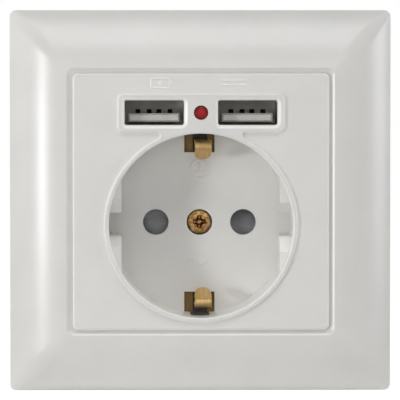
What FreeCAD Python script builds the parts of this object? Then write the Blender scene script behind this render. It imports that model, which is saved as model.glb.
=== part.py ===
import FreeCAD, Part
import math
import os
from types import SimpleNamespace

import Sketcher

# Flush wall socket for round earthed plugs, with two USB charging ports above the well.
# X points right, Z up, and the room lies towards -Y. The origin is the middle of the
# cover frame, on the wall plane. A "front" distance is counted from the wall plane
# towards the room, so what lies behind the wall plane has a negative front distance.

os.makedirs("parts", exist_ok=True)

SIZES = {
    # Cover frame: a hollow square ring with a convex face
    "frame_size": 82.0,
    "frame_side": 2.6,
    "frame_rise": 9.0,
    "frame_wall": 1.8,
    "frame_corner": 1.4,
    "mitre_round": 1.2,
    "flank_radius": 20.6,
    "lip_chamfer": 1.0,
    "lip_drop": 0.7,
    "lip_wall": 1.4,
    "ledge_front": 4.5,
    "ledge_wall": 1.4,
    "screw_notch": 13.0,
    # Central plate of the socket cover
    "plate_size": 55.0,
    "plate_gap": 0.2,
    "plate_proud": 0.6,
    "plate_wall": 2.0,
    "plate_corner": 1.2,
    "plate_bevel": 0.45,
    "skirt_wall": 1.5,
    "island_rise": 0.8,
    "island_bevel": 0.3,
    # Plug well, its guides and its floor
    "well_drop": 5.1,
    "well_radius": 19.75,
    "well_wall": 1.5,
    "well_depth": 17.5,
    "ring_width": 1.05,
    "rim_bevel": 0.35,
    "floor_wall": 2.0,
    "guide_depth": 2.75,
    "guide_drop": 4.0,
    "notch_width": 5.2,
    "notch_bevel": 2.2,
    "bevel_depth": 3.2,
    "pin_pitch": 19.0,
    "pin_hole_radius": 2.8,
    "slot_width": 6.6,
    "slot_length": 4.55,
    "wall_slot_width": 4.1,
    "wall_slot_top": 3.0,
    "boss_radius": 4.0,
    "boss_length": 3.1,
    "head_radius": 2.6,
    "head_height": 2.0,
    "head_drop": 0.8,
    "shank_radius": 1.5,
    "shank_length": 9.0,
    # USB field of the island, the ports and the lamp
    "usb_rise": 4.45,
    "usb_pitch": 20.0,
    "port_width": 12.7,
    "port_height": 5.3,
    "port_round": 0.5,
    "port_chamfer": 0.5,
    "field_half": 17.9,
    "field_above": 4.1,
    "field_below": 4.3,
    "field_corner": 1.3,
    "lamp_radius": 1.5,
    "lamp_proud": 0.1,
    "lamp_bevel": 0.4,
    "shell_wall": 0.3,
    "shell_length": 12.0,
    "latch_width": 2.0,
    "latch_length": 2.2,
    "latch_inset": 3.2,
    "latch_pitch": 5.1,
    "tongue_width": 10.9,
    "tongue_wall": 1.8,
    "tongue_below": 1.1,
    "tongue_back": 1.2,
    "insulator_depth": 3.0,
    "contact_width": 1.0,
    "contact_pitch": 2.3,
    "contact_wall": 0.25,
    "crown_length": 1.8,
    "crown_inset": 1.2,
    # Fixing frame of sheet steel
    "support_inset": 3.7,
    "support_wall": 1.0,
    "support_corner": 5.0,
    "box_circle": 60.0,
    "box_hole_radius": 2.1,
    "box_screw_room": 0.6,
    # Insulating base behind the wall plane
    "base_wall": 2.65,
    "base_side_wall": 1.5,
    "base_depth": 30.0,
    "rear_wall": 2.0,
    "rear_chamfer": 0.4,
    "fixing_inset": 3.2,
    "fixing_edge": 2.6,
    "rivet_radius": 1.0,
    "rivet_head": 1.8,
    "rivet_height": 0.6,
    "rivet_length": 5.0,
    "rear_screw_radius": 1.1,
    "rear_screw_head": 2.1,
    "rear_screw_height": 1.3,
    "rear_screw_length": 8.0,
    # Shutter behind the floor and its return spring
    "shutter_wall": 2.6,
    "shutter_hub": 7.0,
    "shutter_reach": 13.0,
    "shutter_arm": 3.3,
    "shutter_ramp": 4.2,
    "ramp_depth": 1.4,
    "spring_inside": 3.1,
    "spring_pitch": 0.9,
    "spring_wall": 0.2,
    "spring_width": 1.3,
    # Earth strap with its two tongues
    "strap_wall": 0.8,
    "strap_width": 7.6,
    "strap_depth": 7.7,
    "strap_step": 4.0,
    "strap_tail": 2.0,
    "earth_width": 3.6,
    "earth_inset": 1.75,
    "earth_crest": 5.0,
    "earth_bend": 1.1,
    "earth_lean": 4.1,
    "earth_tip_front": -1.6,
    "earth_tip_width": 1.5,
    "earth_taper": 1.8,
    # Live and neutral contacts and the terminals
    "fork_wall": 0.8,
    "fork_half": 3.15,
    "fork_pinch": 1.95,
    "fork_height": 8.0,
    "fork_roof": 1.2,
    "fork_waist": 4.0,
    "terminal_size": 6.0,
    "terminal_down": 13.5,
    "terminal_height": 9.5,
    "wire_hole_radius": 1.6,
    "clamp_screw_radius": 1.2,
    "clamp_head_radius": 2.2,
    "clamp_head_height": 1.6,
    "clamp_screw_length": 4.5,
    "earth_terminal_down": 9.0,
    # Charger electronics
    "board_wall": 1.6,
    "charger_roof": 19.0,
    "charger_half": 16.8,
    "charger_floor": 2.2,
    "charger_rise": 2.9,
    "coil_width": 14.0,
    "coil_height": 13.0,
    "coil_rise": 8.6,
    "coil_inset": 2.0,
    "winding_inset": 1.5,
    "winding_drop": 1.0,
    "capacitor_radius": 3.2,
    "capacitor_bevel": 0.5,
    "link_pitch": 2.54,
    "link_pin": 0.64,
    "link_block": 2.5,
    # Drive recesses of the screws, as shares of the head's radius
    "drive_share": 0.13,
    "cross_share": 0.62,
    # Clearances, and how far a cut runs past what it cuts
    "loose": 0.25,
    "snug": 0.05,
    "assembly": 0.2,
    "overrun": 1.0,
}

doc = FreeCAD.newDocument("usb_wall_socket")
sheet = doc.addObject("Spreadsheet::Sheet", "sizes")
for row, (alias, value) in enumerate(SIZES.items(), start=1):
    sheet.set("A%d" % row, alias)
    sheet.set("B%d" % row, str(value))
    sheet.setAlias("B%d" % row, alias)
doc.recompute()


class Size:
    """A size from the sheet, or a sum of such sizes: its number and its expression."""

    def __init__(self, number, text):
        self.number = number
        self.text = text

    def join(self, sign, other, number):
        return Size(number, "(%s %s %s)" % (self.text, sign, other.text))

    def __add__(self, other):
        other = as_size(other)
        return self.join("+", other, self.number + other.number)

    def __sub__(self, other):
        other = as_size(other)
        return self.join("-", other, self.number - other.number)

    def __mul__(self, other):
        other = as_size(other)
        return self.join("*", other, self.number * other.number)

    def __truediv__(self, other):
        other = as_size(other)
        return self.join("/", other, self.number / other.number)

    def __radd__(self, other):
        return as_size(other) + self

    def __rsub__(self, other):
        return as_size(other) - self

    def __rmul__(self, other):
        return as_size(other) * self

    def __neg__(self):
        return Size(-self.number, "(-1 * %s)" % self.text)

    def root(self):
        return Size(math.sqrt(self.number), "sqrt(%s)" % self.text)


def as_size(value):
    """Take a plain number as a size."""
    if isinstance(value, Size):
        return value
    return Size(float(value), "(%.6g)" % value)


s = SimpleNamespace(**{name: Size(value, "sizes." + name) for name, value in SIZES.items()})

# Two places this close are taken as one when edges are chosen
TOUCH = 1e-4
# Places of four contacts or pins in a row, in steps of their spacing
ROW_OF_FOUR = (-1.5, -0.5, 0.5, 1.5)

# Front distances and places that several pieces share
PLATE_FRONT = s.frame_rise + s.plate_proud
PLATE_BACK = PLATE_FRONT - s.plate_wall
RIM = PLATE_FRONT + s.island_rise
FLOOR = RIM - s.well_depth
FLOOR_BACK = FLOOR - s.floor_wall
BOSS_BACK = FLOOR_BACK - s.boss_length
WELL_OUTSIDE = s.well_radius + s.well_wall
RING_RADIUS = s.well_radius + s.ring_width
GUIDE_HALF = s.well_radius - s.guide_depth
SLOT_START = s.well_radius - s.slot_length
SEAT = FLOOR_BACK - s.assembly
CHAMBER = SEAT - s.loose - s.shutter_wall - s.loose
STRAP_FRONT = SEAT - 2 * s.snug
BRIDGE_FRONT = FLOOR_BACK - s.strap_depth + s.strap_wall
BRIDGE_BACK = BRIDGE_FRONT - s.strap_wall
EARTH_CAGE_BACK = BRIDGE_BACK - s.terminal_height
EARTH_OUTER = s.well_radius - s.earth_inset
EARTH_TIP_UP = EARTH_OUTER - s.earth_lean
STRAP_BEND = EARTH_OUTER - s.strap_step
STRAP_REACH = EARTH_OUTER + s.strap_tail
ROOF = CHAMBER - s.fork_roof
SPRING_QUARTERS = 9
SPRING_OUTSIDE = s.spring_inside + s.spring_pitch / 4 * SPRING_QUARTERS + s.spring_wall
SPRING_BACK = CHAMBER - s.spring_width
REAR = -s.base_depth
USB_UP = s.well_radius + s.usb_rise
USB_Z = USB_UP - s.well_drop
SHELL_HALF = s.port_width / 2 + s.shell_wall
SHELL_RISE = s.port_height / 2 + s.shell_wall
SHELL_FRONT = PLATE_BACK - s.snug
BOARD_FRONT = SHELL_FRONT - s.shell_length
BOARD_BACK = BOARD_FRONT - s.board_wall
CHARGER_TOP = USB_Z + s.charger_rise
SUPPORT_HALF = s.frame_size / 2 - s.frame_wall - s.support_inset
BASE_RADIUS = WELL_OUTSIDE + s.well_drop + s.base_wall
BASE_HALF = WELL_OUTSIDE + s.loose + s.base_side_wall
FIXING_X = BASE_HALF - s.fixing_inset
FIXING_Z = (BASE_RADIUS * BASE_RADIUS - FIXING_X * FIXING_X).root() - s.fixing_edge
RIVETS = [(-FIXING_X, FIXING_Z), (FIXING_X, -FIXING_Z)]
REAR_SCREWS = [(FIXING_X, FIXING_Z), (-FIXING_X, -FIXING_Z)]


def bind(item, path, size):
    """Tie one property to its size in the sheet."""
    item.setExpression(path, as_size(size).text)


def hold(sketch, curve, end, u, v):
    """Hold one point of a curve at its place in the sketch."""
    for kind, axis, size in (("DistanceX", -2, as_size(u)), ("DistanceY", -1, as_size(v))):
        if size.number == 0:
            sketch.addConstraint(Sketcher.Constraint("PointOnObject", curve, end, axis))
            continue
        index = sketch.addConstraint(Sketcher.Constraint(kind, -1, 1, curve, end, size.number))
        sketch.setExpression("Constraints[%d]" % index, size.text)


def hold_radius(sketch, curve, radius):
    """Hold the radius of a circle or an arc."""
    index = sketch.addConstraint(Sketcher.Constraint("Radius", curve, radius.number))
    sketch.setExpression("Constraints[%d]" % index, radius.text)


def flat(u, v):
    """A point of a sketch plane."""
    return FreeCAD.Vector(as_size(u).number, as_size(v).number, 0)


def arc_between(start, end, radius):
    """The short arc between two points; a negative radius turns clockwise."""
    chord = end - start
    away = math.sqrt(max(radius * radius - chord.Length ** 2 / 4, 0.0))
    across = FreeCAD.Vector(-chord.y, chord.x, 0).normalize()
    centre = (start + end) * 0.5 + across * math.copysign(away, radius)
    first = math.atan2(start.y - centre.y, start.x - centre.x)
    last = math.atan2(end.y - centre.y, end.x - centre.x)
    if radius < 0:
        first, last = last, first
    if last < first:
        last += 2 * math.pi
    return Part.ArcOfCircle(Part.Circle(centre, FreeCAD.Vector(0, 0, 1), abs(radius)), first, last)


class Ring:
    """A circle to draw: its centre and radius."""

    def __init__(self, u, v, radius):
        self.u = u
        self.v = v
        self.radius = as_size(radius)


def draw(sketch, loop):
    """Draw a circle (centre, radius) or an outline: corners, each with the radius of the
    arc that leaves it, if it is an arc."""
    first = sketch.GeometryCount
    if isinstance(loop, Ring):
        circle = Part.Circle(flat(loop.u, loop.v), FreeCAD.Vector(0, 0, 1), loop.radius.number)
        sketch.addGeometry(circle, False)
        hold(sketch, first, 3, loop.u, loop.v)
        hold_radius(sketch, first, loop.radius)
        return
    count = len(loop)
    clockwise = [len(corner) > 2 and corner[2].number < 0 for corner in loop]
    for place, corner in enumerate(loop):
        start = flat(corner[0], corner[1])
        following = loop[(place + 1) % count]
        end = flat(following[0], following[1])
        if len(corner) > 2:
            sketch.addGeometry(arc_between(start, end, corner[2].number), False)
        else:
            sketch.addGeometry(Part.LineSegment(start, end), False)
    for place, corner in enumerate(loop):
        after = (place + 1) % count
        leaving = 1 if clockwise[place] else 2
        entering = 2 if clockwise[after] else 1
        coincident = Sketcher.Constraint("Coincident", first + place, leaving, first + after, entering)
        sketch.addConstraint(coincident)
        hold(sketch, first + place, 2 if clockwise[place] else 1, corner[0], corner[1])
        if len(corner) > 2:
            hold_radius(sketch, first + place, -corner[2] if clockwise[place] else corner[2])


def box(left, right, bottom, top, corner=None):
    """Corners of a rectangle, with rounded corners if a radius is given."""
    if corner is None:
        return [(left, bottom), (right, bottom), (right, top), (left, top)]
    return [
        (left + corner, bottom), (right - corner, bottom, corner),
        (right, bottom + corner), (right, top - corner, corner),
        (right - corner, top), (left + corner, top, corner),
        (left, top - corner), (left, bottom + corner, corner),
    ]


def square(half, corner=None, up=0):
    """A square about the sketch's vertical axis."""
    return box(-half, half, up - half, up + half, corner)


def barrel(radius, half):
    """A circle with flat left and right sides."""
    rise = (radius * radius - half * half).root()
    return [(half, -rise), (half, rise, radius), (-half, rise), (-half, -rise, radius)]


def new_body(name, up=0):
    """A body whose own origin lies the given height above the frame's middle."""
    body = doc.addObject("PartDesign::Body", name)
    body.Label = name
    bind(body, "Placement.Base.z", up)
    return body


def origin_plane(body, role):
    return [item for item in body.Origin.OriginFeatures if item.Role == role][0]


def sketch_on(body, name, role, offset, loops):
    sketch = body.newObject("Sketcher::SketchObject", name)
    sketch.AttachmentSupport = [(origin_plane(body, role), "")]
    sketch.MapMode = "FlatFace"
    bind(sketch, "AttachmentOffset.Base.z", offset)
    for loop in loops:
        draw(sketch, loop)
    return sketch


def pad(body, name, start, stop, *loops, role="XZ_Plane"):
    """Material from one distance to a larger one, along the plane's normal."""
    start = as_size(start)
    feature = body.newObject("PartDesign::Pad", name)
    feature.Profile = sketch_on(body, name + "_outline", role, start, loops)
    bind(feature, "Length", stop - start)
    body.Tip = feature
    doc.recompute()
    return feature


def pocket(body, name, start, stop, *loops, role="XZ_Plane"):
    """A cut from one distance back to a smaller one, against the plane's normal."""
    start = as_size(start)
    before = body.Shape.Volume
    feature = body.newObject("PartDesign::Pocket", name)
    feature.Profile = sketch_on(body, name + "_outline", role, start, loops)
    bind(feature, "Length", start - stop)
    body.Tip = feature
    doc.recompute()
    if feature.Shape.Volume >= before:
        raise ValueError("%s of %s cuts nothing" % (name, body.Label))
    return feature


def edge_names(shape, chosen):
    """Names of the edges whose two ends and middle all pass the test."""
    names = []
    for index, edge in enumerate(shape.Edges, start=1):
        first, last = edge.ParameterRange
        points = [edge.valueAt(first + (last - first) * share) for share in (0, 0.37, 1)]
        if all(chosen(point) for point in points):
            names.append("Edge%d" % index)
    return names


def finish_edges(body, kind, name, chosen, **sizes):
    """Round or bevel the chosen edges of the body as it stands."""
    base = body.Tip
    names = edge_names(base.Shape, chosen)
    feature = body.newObject("PartDesign::" + kind, name)
    feature.Base = (base, names)
    if "Size2" in sizes:
        feature.ChamferType = "Two distances"
    for key, size in sizes.items():
        bind(feature, key, size)
    body.Tip = feature
    doc.recompute()
    return feature


def mirror(body, name, features, role):
    """Repeat features on the other side of one of the body's planes."""
    feature = body.newObject("PartDesign::Mirrored", name)
    feature.Originals = features
    feature.MirrorPlane = (origin_plane(body, role), [""])
    body.Tip = feature
    doc.recompute()
    return feature


def near(a, b):
    return abs(a - as_size(b).number) < TOUCH


def at_front(point, front):
    return near(-point.y, front)


def block(name, left, right, back, front, bottom, top):
    """A rectangular solid between six planes."""
    item = doc.addObject("Part::Box", name)
    bind(item, "Length", right - left)
    bind(item, "Width", front - back)
    bind(item, "Height", top - bottom)
    bind(item, "Placement.Base.x", left)
    bind(item, "Placement.Base.y", -front)
    bind(item, "Placement.Base.z", bottom)
    return item


def rod(name, radius, back, front, x, z):
    """A round solid along Y."""
    item = doc.addObject("Part::Cylinder", name)
    item.Placement.Rotation = FreeCAD.Rotation(FreeCAD.Vector(1, 0, 0), 90)
    bind(item, "Radius", radius)
    bind(item, "Height", front - back)
    bind(item, "Placement.Base.x", x)
    bind(item, "Placement.Base.y", -as_size(back))
    bind(item, "Placement.Base.z", z)
    return item


def fused(name, items):
    item = doc.addObject("Part::MultiFuse", name)
    item.Shapes = items
    return item


def minus(name, base, tool):
    item = doc.addObject("Part::Cut", name)
    item.Base = base
    item.Tool = tool
    return item


def group(name, items):
    """Separate like solids under one name."""
    item = doc.addObject("Part::Compound", name)
    item.Links = items
    item.Label = name
    return item


def make_cover_frame():
    """Square ring: one section carried round a square path with mitred corners."""
    body = new_body("cover_frame")
    half = s.frame_size / 2
    opening = s.plate_size / 2 + s.plate_gap
    face_edge = opening + s.lip_chamfer
    lip_outside = opening + s.lip_wall
    ledge = s.well_drop + WELL_OUTSIDE + s.assembly
    inside = half - s.frame_wall
    path = [(-half, 0), (-half, half), (half, half), (half, -half), (-half, -half)]
    spine = sketch_on(body, "frame_path", "XZ_Plane", 0, [path])
    ledge_back = s.ledge_wall - s.ledge_front
    hollow_radius = s.frame_wall - s.flank_radius
    section_corners = [
        (-half, 0), (-half, -s.frame_side, s.flank_radius), (-face_edge, -s.frame_rise),
        (-opening, s.lip_drop - s.frame_rise), (-opening, -s.ledge_front),
        (-ledge, -s.ledge_front), (-ledge, ledge_back), (-opening, ledge_back),
        (-opening, -s.support_wall), (-lip_outside, -s.support_wall),
        (-lip_outside, s.frame_wall - s.frame_rise, hollow_radius),
        (-inside, -s.frame_side + s.frame_wall / 2), (-inside, 0),
    ]
    section = sketch_on(body, "frame_section", "XY_Plane", 0, [section_corners])
    pipe = body.newObject("PartDesign::AdditivePipe", "flanks")
    pipe.Profile = section
    pipe.Spine = (spine, [])
    pipe.Transition = "Right corner"
    body.Tip = pipe
    doc.recompute()
    band = s.screw_notch / 2
    outer = inside - s.overrun
    pocket(
        body, "screw_notches", -ledge_back, s.support_wall,
        box(-band, band, ledge, outer), box(-band, band, -outer, -ledge),
        box(ledge, outer, -band, band), box(-outer, -ledge, -band, band),
    )

    def corner_edge(point):
        return near(abs(point.x), half) and near(abs(point.z), half)

    def mitre(point):
        across = abs(point.x)
        beyond_lip = across > face_edge.number - TOUCH
        return near(abs(point.z), across) and beyond_lip and -point.y > chord(across) - TOUCH

    def chord(across):
        """Front distance of the straight line from the flank's foot to its top."""
        share = (half.number - across) / (half - face_edge).number
        return s.frame_side.number + share * (s.frame_rise - s.frame_side).number

    finish_edges(body, "Fillet", "corner_rounding", corner_edge, Radius=s.frame_corner)
    finish_edges(body, "Fillet", "mitre_rounding", mitre, Radius=s.mitre_round)
    return body


def quarter_guide(right, upper):
    """Floor plan of half a guide pad: a slice between a chord and the well's wall."""
    outside = s.well_radius + s.well_wall / 2
    half = s.notch_width / 2
    turn = outside * (right * upper)
    far = (outside * outside - GUIDE_HALF * GUIDE_HALF).root()
    wide = (outside * outside - half * half).root()
    return [
        (right * GUIDE_HALF, upper * half), (right * wide, upper * half, turn),
        (right * GUIDE_HALF, upper * far),
    ]


def make_socket_cover():
    """One moulding: plate, skirt, raised island, plug well with guides, floor and boss."""
    body = new_body("socket_cover", -s.well_drop)
    half = s.plate_size / 2
    inner = half - s.skirt_wall
    plate = square(half, s.plate_corner, s.well_drop)
    pad(body, "plate", PLATE_BACK, PLATE_FRONT, plate)
    skirt = square(inner, None, s.well_drop)
    middle = PLATE_FRONT - s.plate_wall / 2
    pad(body, "skirt", s.ledge_front, middle, plate, skirt)
    pad(body, "ring", middle, RIM, Ring(0, 0, RING_RADIUS))
    bottom = USB_UP - s.field_below
    top = USB_UP + s.field_above
    field = box(-s.field_half, s.field_half, bottom, top, s.field_corner)
    pad(body, "usb_field", middle, RIM, field)
    pad(body, "well_outside", FLOOR_BACK, middle, Ring(0, 0, WELL_OUTSIDE))
    pocket(body, "well", RIM, FLOOR, Ring(0, 0, s.well_radius))
    guides = [quarter_guide(right, upper) for right in (-1, 1) for upper in (-1, 1)]
    guide_front = RIM - s.guide_drop
    pad(body, "guides", FLOOR, guide_front, *guides)

    def notch_edge(point):
        beside = near(abs(point.z), s.notch_width / 2)
        return beside and at_front(point, guide_front) and abs(point.x) > GUIDE_HALF.number - TOUCH

    finish_edges(
        body, "Chamfer", "notch_bevels", notch_edge, Size=s.notch_bevel, Size2=s.bevel_depth
    )
    pad(body, "screw_boss", BOSS_BACK, FLOOR_BACK, Ring(0, 0, s.boss_radius))
    head_room = s.head_drop + s.head_height
    pocket(body, "screw_recess", FLOOR, FLOOR - head_room, Ring(0, 0, s.head_radius + s.assembly))
    pocket(body, "screw_hole", FLOOR - head_room, BOSS_BACK, Ring(0, 0, s.shank_radius + s.assembly))
    pins = [Ring(side * s.pin_pitch / 2, 0, s.pin_hole_radius) for side in (-1, 1)]
    pocket(body, "pin_holes", FLOOR, FLOOR_BACK, *pins)
    wide = s.slot_width / 2
    slots = [
        box(-wide, wide, SLOT_START, s.well_radius - s.snug),
        box(-wide, wide, s.snug - s.well_radius, -SLOT_START),
    ]
    pocket(body, "earth_slots", FLOOR, FLOOR_BACK, *slots)
    narrow = s.wall_slot_width / 2
    reach = WELL_OUTSIDE + s.loose
    start = s.well_radius - s.overrun
    wall_slots = [box(-narrow, narrow, start, reach), box(-narrow, narrow, -reach, -start)]
    pocket(body, "wall_slots", s.wall_slot_top, FLOOR_BACK, *wall_slots)
    wide = s.port_width / 2
    tall = s.port_height / 2
    ports = [
        box(x - wide, x + wide, USB_UP - tall, USB_UP + tall, s.port_round)
        for x in (-s.usb_pitch / 2, s.usb_pitch / 2)
    ]
    pocket(body, "ports", RIM, PLATE_BACK, *ports)
    lamp_hole = Ring(0, USB_UP, s.lamp_radius + s.snug)
    pocket(body, "lamp_hole", RIM, PLATE_BACK, lamp_hole)

    def port_edge(point):
        beside = abs(abs(point.x) - s.usb_pitch.number / 2) < wide.number + TOUCH
        level = abs(point.z - USB_UP.number) < tall.number + TOUCH
        return at_front(point, RIM) and beside and level

    def island_corner(point):
        beside = near(math.hypot(point.x, point.z), RING_RADIUS)
        return near(point.z, bottom) and beside and -point.y > PLATE_FRONT.number - TOUCH

    def island_edge(point):
        from_well = math.hypot(point.x, point.z)
        field_side = abs(point.x) > (s.field_half - s.field_corner).number - TOUCH
        field_top = near(point.z, top)
        field_bottom = point.z < bottom.number + TOUCH and from_well > RING_RADIUS.number - TOUCH
        return at_front(point, RIM) and (field_side or field_top or field_bottom)

    def rim_edge(point):
        return at_front(point, RIM) and near(math.hypot(point.x, point.z), s.well_radius)

    def plate_edge(point):
        outer = near(abs(point.x), half) or near(abs(point.z - s.well_drop.number), half)
        reach = max(abs(point.x), abs(point.z - s.well_drop.number))
        corner = reach > (half - s.plate_corner).number - TOUCH
        return at_front(point, PLATE_FRONT) and (outer or corner)

    finish_edges(body, "Chamfer", "port_chamfers", port_edge, Size=s.port_chamfer)
    finish_edges(body, "Fillet", "island_join_rounding", island_corner, Radius=s.field_corner / 2)
    finish_edges(body, "Chamfer", "island_bevel", island_edge, Size=s.island_bevel)
    finish_edges(body, "Chamfer", "rim_bevel", rim_edge, Size=s.rim_bevel)
    finish_edges(body, "Chamfer", "plate_bevel", plate_edge, Size=s.plate_bevel)
    return body


def screw(name, x, z, seat, head, shank, facing=1, cross=False):
    """Slotted or cross-recessed screw: head and shank are each a radius and a length.
    Facing 1 has the head towards the room, facing -1 towards the back of the wall box."""
    head_radius, head_height = head
    shank_radius, length = shank
    seat = as_size(seat)
    if facing > 0:
        top_part = rod(name + "_head", head_radius, seat, seat + head_height, x, z)
        thread = rod(name + "_shank", shank_radius, seat - length, seat, x, z)
        top = seat + head_height
        bottom = top - head_height / 2
    else:
        top_part = rod(name + "_head", head_radius, seat - head_height, seat, x, z)
        thread = rod(name + "_shank", shank_radius, seat, seat + length, x, z)
        bottom = seat - head_height
        top = bottom + head_height / 2
    blank = fused(name + "_blank", [top_part, thread])
    x = as_size(x)
    z = as_size(z)
    wide = head_radius * s.drive_share
    reach = head_radius * s.cross_share if cross else head_radius + s.overrun
    cuts = [block(name + "_slot", x - reach, x + reach, bottom, top, z - wide, z + wide)]
    if cross:
        cuts.append(block(name + "_cross", x - wide, x + wide, bottom, top, z - reach, z + reach))
    return minus(name, blank, fused(name + "_recess", cuts) if cross else cuts[0])


def make_cover_screw():
    seat = FLOOR - s.head_drop - s.head_height
    head = (s.head_radius, s.head_height)
    shank = (s.shank_radius, s.shank_length)
    item = screw("cover_screw", 0, -s.well_drop, seat, head, shank, cross=True)
    item.Label = "cover_screw"
    return item


def make_support_frame():
    """Punched steel frame that is screwed to the wall box."""
    body = new_body("support_frame")
    pad(body, "sheet", 0, s.support_wall, square(SUPPORT_HALF, s.support_corner))
    well = Ring(0, -s.well_drop, WELL_OUTSIDE + 2 * s.assembly)
    pocket(body, "well_opening", s.support_wall, 0, well)
    wide = s.usb_pitch / 2 + SHELL_HALF + 2 * s.assembly
    tall = USB_Z + SHELL_RISE + 2 * s.assembly
    pocket(body, "usb_opening", s.support_wall, 0, box(-wide, wide, USB_Z - SHELL_RISE * 2, tall))
    hole = pocket(body, "box_hole", s.support_wall, 0, Ring(0, s.box_circle / 2, s.box_hole_radius))
    pattern = body.newObject("PartDesign::PolarPattern", "box_holes")
    pattern.Originals = [hole]
    pattern.Axis = (hole.Profile[0], ["N_Axis"])
    pattern.Angle = 360
    pattern.Occurrences = 4
    body.Tip = pattern
    doc.recompute()
    holes = [Ring(x, z, s.rivet_radius + s.snug) for x, z in RIVETS]
    pocket(body, "rivet_holes", s.support_wall, 0, *holes)
    return body


def make_socket_base():
    """Insulating block with a seat for the well and chambers for the contacts."""
    body = new_body("socket_base")
    down = -s.well_drop
    pad(body, "block", REAR, 0, barrel(BASE_RADIUS, BASE_HALF))
    pocket(body, "well_seat", 0, SEAT, Ring(0, down, WELL_OUTSIDE + s.loose))
    wide = s.usb_pitch / 2 + SHELL_HALF + s.assembly
    top = USB_Z + SHELL_RISE + s.assembly
    pocket(body, "usb_pocket", 0, BOARD_BACK, box(-wide, wide, USB_Z - SHELL_RISE * 2, top))
    chamber = Ring(0, down, s.shutter_reach + 2 * s.assembly)
    pocket(body, "shutter_chamber", SEAT, CHAMBER, chamber)
    wide = s.strap_width / 2 + s.assembly
    reach = STRAP_REACH + s.assembly
    ends = STRAP_BEND - s.strap_wall - s.assembly
    lugs = [
        box(-wide, wide, down + ends, down + reach), box(-wide, wide, down - reach, down - ends)
    ]
    pocket(body, "strap_ends", SEAT, STRAP_FRONT - s.strap_wall, *lugs)
    channel = STRAP_BEND + s.assembly
    pocket(body, "strap_channel", SEAT, BRIDGE_BACK, box(-wide, wide, down - channel, down + channel))
    coil = Ring(0, down, SPRING_OUTSIDE + s.assembly)
    pocket(body, "spring_seat", CHAMBER, SPRING_BACK, coil)
    pins = [Ring(a * s.pin_pitch / 2, down, s.pin_hole_radius) for a in (-1, 1)]
    pocket(body, "pin_passages", CHAMBER, ROOF - s.overrun, *pins)
    low = down - s.terminal_down - s.terminal_size / 2 - s.assembly
    high = down + s.fork_height / 2 + s.assembly
    room = s.fork_half + s.assembly
    chambers = [
        box(a * s.pin_pitch / 2 - room, a * s.pin_pitch / 2 + room, low, high) for a in (-1, 1)
    ]
    pocket(body, "contact_chambers", ROOF, REAR, *chambers)
    driver = s.clamp_head_radius + s.loose
    drivers = [Ring(a * s.pin_pitch / 2, down - s.terminal_down, driver) for a in (-1, 1)]
    pocket(body, "driver_holes", SEAT, ROOF - s.overrun, *drivers)
    entry = -(REAR + s.fork_wall + s.terminal_height / 2)
    wires = [Ring(a * s.pin_pitch / 2, entry, s.wire_hole_radius) for a in (-1, 1)]
    pocket(body, "wire_holes", low + s.overrun, -BASE_RADIUS, *wires, role="XY_Plane")
    screw_tip = FLOOR - s.head_drop - s.head_height - s.shank_length - s.loose
    pocket(body, "screw_room", BRIDGE_BACK, screw_tip, Ring(0, down, s.shank_radius + s.assembly))
    size = s.terminal_size / 2 + s.assembly
    middle = down - s.earth_terminal_down
    cage = box(-size, size, middle - size, middle + size)
    pocket(body, "earth_chamber", BRIDGE_BACK, EARTH_CAGE_BACK - s.assembly, cage)
    earth_wire = Ring(0, -(EARTH_CAGE_BACK + s.terminal_height / 2), s.wire_hole_radius)
    pocket(body, "earth_wire_hole", middle, -BASE_RADIUS, earth_wire, role="XY_Plane")
    pocket(body, "charger_room", -s.charger_roof, REAR,
           box(-s.charger_half, s.charger_half, s.charger_floor, CHARGER_TOP))
    link = s.link_pitch * 2 + s.assembly
    rise = s.link_pitch / 2 + s.assembly
    passage = box(-link, link, USB_Z - rise, USB_Z + rise)
    pocket(body, "link_passage", BOARD_BACK, -s.charger_roof, passage)
    rivets = [Ring(x, z, s.rivet_radius + s.snug) for x, z in RIVETS]
    pocket(body, "rivet_holes", 0, -s.rivet_length, *rivets)
    screws = [Ring(x, z, s.rear_screw_radius + s.snug) for x, z in REAR_SCREWS]
    pocket(body, "rear_screw_holes", REAR + s.rear_screw_length, REAR, *screws)
    pocket(body, "box_screw_grooves", 0, REAR, *box_screw_rooms())
    return body


def box_screw_rooms():
    """Room above and below for the screws that hold the fixing frame to the wall box."""
    radius = s.box_hole_radius + s.box_screw_room
    return [Ring(0, side * s.box_circle / 2, radius) for side in (-1, 1)]


def make_rear_cover():
    """Flat lid that closes the chambers and carries the contacts and the charger board."""
    body = new_body("rear_cover")
    pad(body, "lid", REAR - s.rear_wall, REAR, barrel(BASE_RADIUS, BASE_HALF))
    holes = [Ring(x, z, s.rear_screw_radius + s.assembly) for x, z in REAR_SCREWS]
    pocket(body, "screw_holes", REAR, REAR - s.rear_wall, *holes)
    pocket(body, "box_screw_grooves", REAR, REAR - s.rear_wall, *box_screw_rooms())

    def rear_edge(point):
        side = near(abs(point.x), BASE_HALF)
        round_part = near(math.hypot(point.x, point.z), BASE_RADIUS)
        return at_front(point, REAR - s.rear_wall) and (side or round_part)

    finish_edges(body, "Chamfer", "rear_chamfer", rear_edge, Size=s.rear_chamfer)
    return body


def make_rivets():
    rivets = []
    top = s.support_wall + s.rivet_height
    for index, (x, z) in enumerate(RIVETS):
        name = "base_rivet_%d" % index
        shank = rod(name + "_shank", s.rivet_radius, -s.rivet_length, s.support_wall, x, z)
        head = rod(name + "_head", s.rivet_head, s.support_wall, top, x, z)
        rivets.append(fused(name, [shank, head]))
    return group("base_rivets", rivets)


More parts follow.
